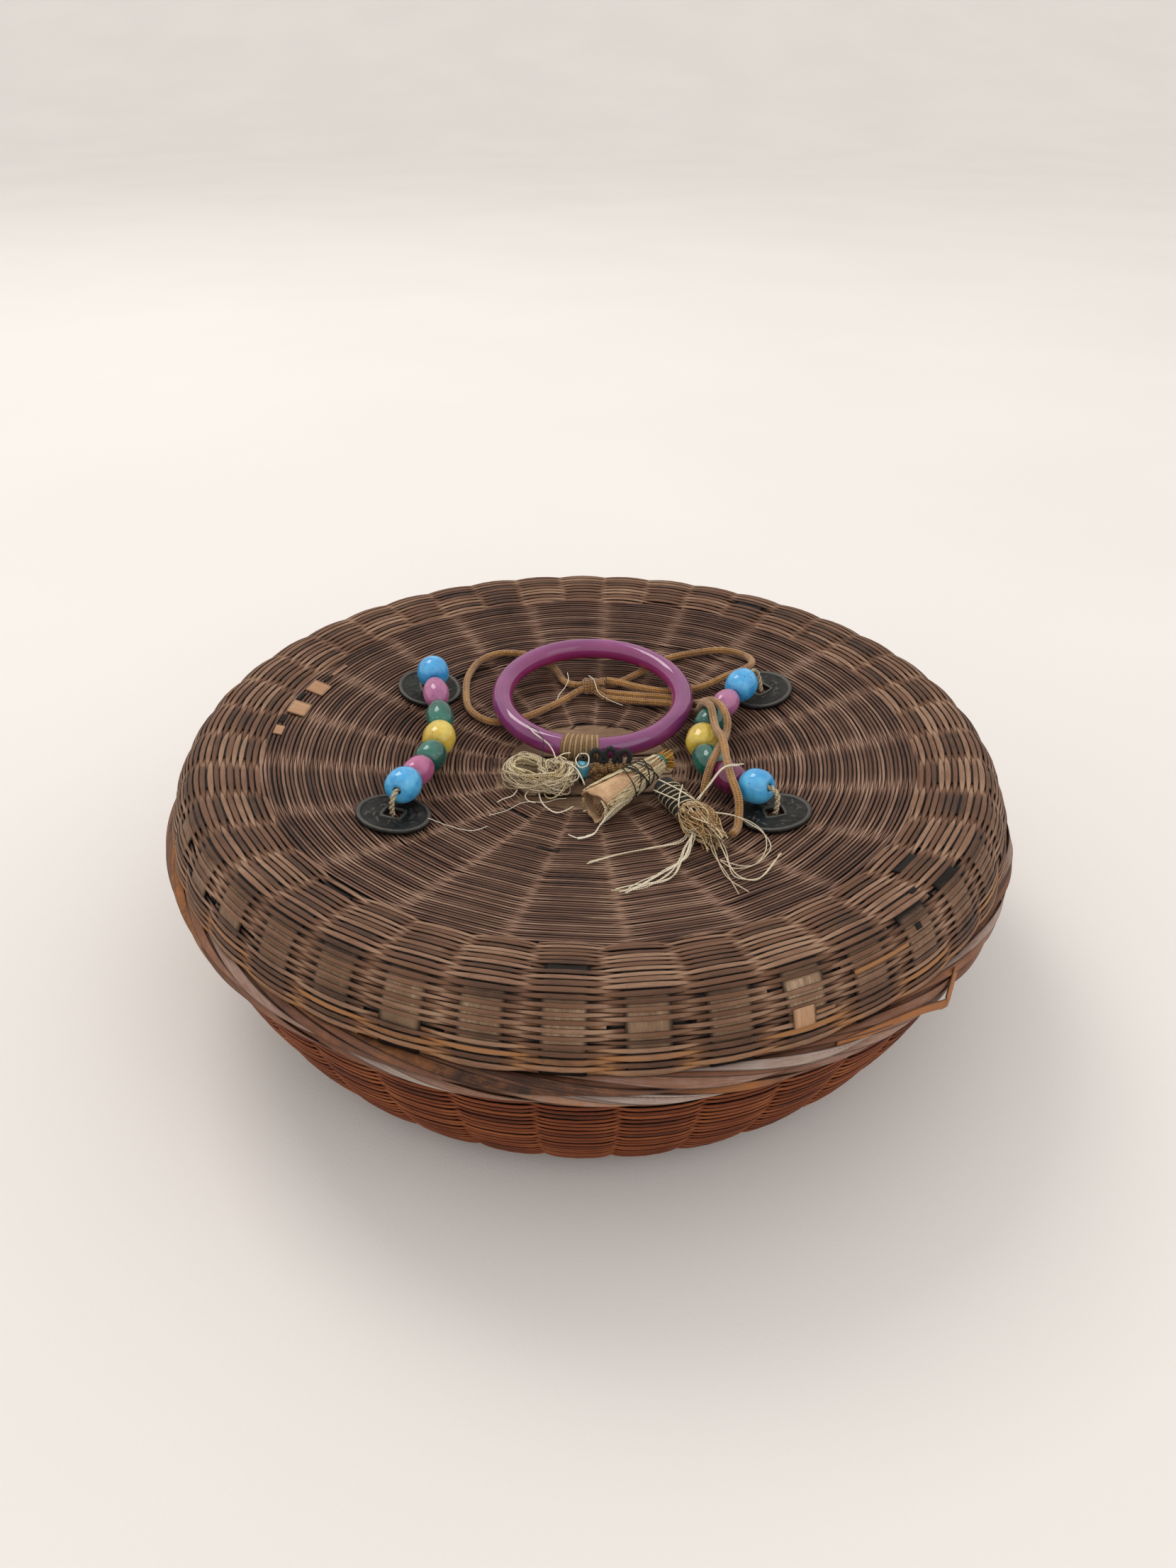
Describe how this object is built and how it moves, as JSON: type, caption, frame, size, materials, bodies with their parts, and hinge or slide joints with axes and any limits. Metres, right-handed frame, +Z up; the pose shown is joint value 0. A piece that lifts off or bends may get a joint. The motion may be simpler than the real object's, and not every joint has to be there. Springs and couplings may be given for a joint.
{
  "type": "beaded wicker basket",
  "caption": "Round lidded basket of flat splints, its lid set with glass beads on cords, holed coins, a glass ring handle and tassels.",
  "frame": {"origin": "middle of the face that the basket rests on", "axes": "+Z up, the front with the tassels faces -Y, +X to the right of the picture"},
  "size_m": [0.2914, 0.2922, 0.0945],
  "materials": {
    "weave": "satin, worn",
    "old_weave": "satin, worn",
    "splint": "satin",
    "coin": "worn dark patina",
    "blue_glass": "gloss",
    "mauve_glass": "gloss",
    "purple_glass": "gloss",
    "green_glass": "gloss",
    "yellow_glass": "gloss",
    "ring_glass": "gloss",
    "ochre_cord": "matt",
    "straw": "matt",
    "paper": "matt",
    "dark_thread": "matt",
    "brown_cord": "matt",
    "gold_thread": "matt"
  },
  "bodies": {
    "base": {"base_floor": "old_weave", "base_wall": "old_weave", "base_spokes": "splint", "base_border": "splint", "locating_collar": "splint"},
    "lid": {"lid_inner_weave": "weave", "lid_crest_weave": "weave", "lid_side_weave": "weave", "lid_spokes": "splint", "lid_border": "splint", "loose_border_splint": "splint", "bead_cord_left": "straw", "bead_cord_right": "straw", "bow_knot": "ochre_cord", "bow_loop_left": "ochre_cord", "bow_loop_right": "ochre_cord", "bow_tail_upper": "ochre_cord", "bow_tail_lower": "ochre_cord", "tassel_hank_left": "straw", "tassel_core_middle": "paper", "tassel_sheath_middle": "straw", "tassel_tuft_middle": "gold_thread", "tassel_head_right": "dark_thread", "tassel_winding_right": "straw", "tassel_skirt_right": "straw", "braided_knot": "brown_cord", "black_loops": "dark_thread", "small_blue_bead": "blue_glass"},
    "ring": {"glass_ring": "ring_glass", "ring_wrap": "paper"},
    "coin_left_rear": {"coin_left_rear": "coin"},
    "coin_left_front": {"coin_left_front": "coin"},
    "coin_right_rear": {"coin_right_rear": "coin"},
    "coin_right_front": {"coin_right_front": "coin"},
    "bead_left_1": {"bead_left_1_blue": "blue_glass"},
    "bead_left_2": {"bead_left_2_mauve_long": "mauve_glass"},
    "bead_left_3": {"bead_left_3_green": "green_glass"},
    "bead_left_4": {"bead_left_4_yellow": "yellow_glass"},
    "bead_left_5": {"bead_left_5_green": "green_glass"},
    "bead_left_6": {"bead_left_6_mauve": "mauve_glass"},
    "bead_left_7": {"bead_left_7_blue": "blue_glass"},
    "bead_right_1": {"bead_right_1_blue": "blue_glass"},
    "bead_right_2": {"bead_right_2_mauve_long": "mauve_glass"},
    "bead_right_3": {"bead_right_3_green": "green_glass"},
    "bead_right_4": {"bead_right_4_yellow": "yellow_glass"},
    "bead_right_5": {"bead_right_5_green": "green_glass"},
    "bead_right_6": {"bead_right_6_purple": "purple_glass"},
    "bead_right_7": {"bead_right_7_blue": "blue_glass"}
  },
  "joints": [
    {"name": "lid_lift", "type": "slide", "parent": "base", "child": "lid", "axis": [0, 0, 1], "range_m": [0, 0.12]},
    {"name": "ring_tilt", "type": "hinge", "parent": "lid", "child": "ring", "pos_m": [0.0006, 0.00003, 0.07958], "axis": [1, 0, 0], "range_deg": [0, 110]},
    {"name": "coin_left_rear_spin", "type": "hinge", "parent": "lid", "child": "coin_left_rear", "pos_m": [-0.06298, 0.04305, 0.08036], "axis": [0.1461, -0.0999, 0.9842], "continuous": true},
    {"name": "coin_left_front_spin", "type": "hinge", "parent": "lid", "child": "coin_left_front", "pos_m": [-0.06378, -0.04385, 0.08056], "axis": [0.1479, 0.1017, 0.9838], "continuous": true},
    {"name": "coin_right_rear_spin", "type": "hinge", "parent": "lid", "child": "coin_right_rear", "pos_m": [0.06627, 0.04355, 0.08091], "axis": [-0.1536, -0.1009, 0.983], "continuous": true},
    {"name": "coin_right_front_spin", "type": "hinge", "parent": "lid", "child": "coin_right_front", "pos_m": [0.06069, -0.03916, 0.07965], "axis": [-0.1411, 0.091, 0.9858], "continuous": true},
    {"name": "bead_left_1_spin", "type": "hinge", "parent": "lid", "child": "bead_left_1", "pos_m": [-0.0609, 0.0405, 0.08857], "axis": [0.1714, -0.9771, -0.1261], "continuous": true},
    {"name": "bead_left_2_spin", "type": "hinge", "parent": "lid", "child": "bead_left_2", "pos_m": [-0.05825, 0.02735, 0.08663], "axis": [0.2136, -0.9644, -0.1559], "continuous": true},
    {"name": "bead_left_3_spin", "type": "hinge", "parent": "lid", "child": "bead_left_3", "pos_m": [-0.0553, 0.01355, 0.08436], "axis": [0.1979, -0.9666, -0.163], "continuous": true},
    {"name": "bead_left_4_spin", "type": "hinge", "parent": "lid", "child": "bead_left_4", "pos_m": [-0.0542, 0.0006, 0.08295], "axis": [-0.0303, -0.9983, -0.0505], "continuous": true},
    {"name": "bead_left_5_spin", "type": "hinge", "parent": "lid", "child": "bead_left_5", "pos_m": [-0.0556, -0.0116, 0.08283], "axis": [-0.2094, -0.9771, 0.0365], "continuous": true},
    {"name": "bead_left_6_spin", "type": "hinge", "parent": "lid", "child": "bead_left_6", "pos_m": [-0.0583, -0.0235, 0.08424], "axis": [-0.2277, -0.9564, 0.1827], "continuous": true},
    {"name": "bead_left_7_spin", "type": "hinge", "parent": "lid", "child": "bead_left_7", "pos_m": [-0.0612, -0.0358, 0.0867], "axis": [-0.2227, -0.9542, 0.1997], "continuous": true},
    {"name": "bead_right_1_spin", "type": "hinge", "parent": "lid", "child": "bead_right_1", "pos_m": [0.0575, 0.03595, 0.087], "axis": [-0.5096, -0.8417, -0.1785], "continuous": true},
    {"name": "bead_right_2_spin", "type": "hinge", "parent": "lid", "child": "bead_right_2", "pos_m": [0.05035, 0.02495, 0.08486], "axis": [-0.5641, -0.8131, -0.1437], "continuous": true},
    {"name": "bead_right_3_spin", "type": "hinge", "parent": "lid", "child": "bead_right_3", "pos_m": [0.0437, 0.01405, 0.08322], "axis": [-0.4609, -0.8807, -0.1093], "continuous": true},
    {"name": "bead_right_4_spin", "type": "hinge", "parent": "lid", "child": "bead_right_4", "pos_m": [0.0401, 0.0021, 0.0822], "axis": [-0.1202, -0.9913, -0.0538], "continuous": true},
    {"name": "bead_right_5_spin", "type": "hinge", "parent": "lid", "child": "bead_right_5", "pos_m": [0.04125, -0.01085, 0.08184], "axis": [0.2936, -0.9559, 0.0001], "continuous": true},
    {"name": "bead_right_6_spin", "type": "hinge", "parent": "lid", "child": "bead_right_6", "pos_m": [0.0471, -0.0229, 0.08273], "axis": [0.5601, -0.8186, 0.1276], "continuous": true},
    {"name": "bead_right_7_spin", "type": "hinge", "parent": "lid", "child": "bead_right_7", "pos_m": [0.0551, -0.0322, 0.08542], "axis": [0.7135, -0.6265, 0.3138], "continuous": true}
  ]
}
